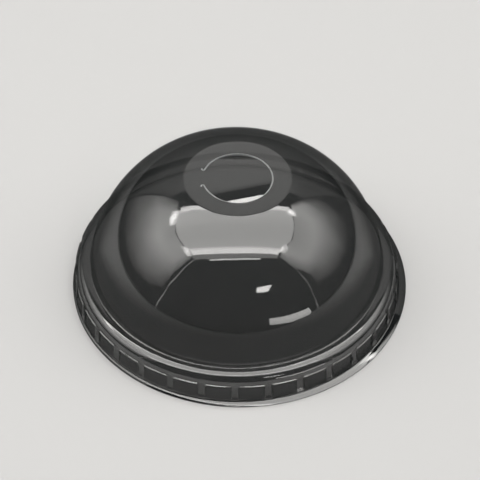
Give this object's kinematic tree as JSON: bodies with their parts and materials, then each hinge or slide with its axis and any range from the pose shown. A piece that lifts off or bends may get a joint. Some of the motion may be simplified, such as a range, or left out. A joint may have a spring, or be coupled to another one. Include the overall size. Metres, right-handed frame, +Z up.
{
  "type": "dome lid",
  "caption": "Clear one-piece dome lid for a cold drink cup, with a C-cut straw flap, a level flange, a rounded shoulder over the cup's rim, raised panels around the skirt and a flat lip.",
  "frame": {"origin": "centre of the bottom lip's underside, on the lid's axis", "axes": "+Z up through the dome; the straw flap's uncut hinge is on the -X side, and -Y is the side that the picture shows"},
  "size_m": [0.101, 0.1008, 0.042],
  "materials": {
    "clear_sheet": "gloss"
  },
  "bodies": {
    "root": {"dome_lid": "clear_sheet"}
  },
  "joints": []
}
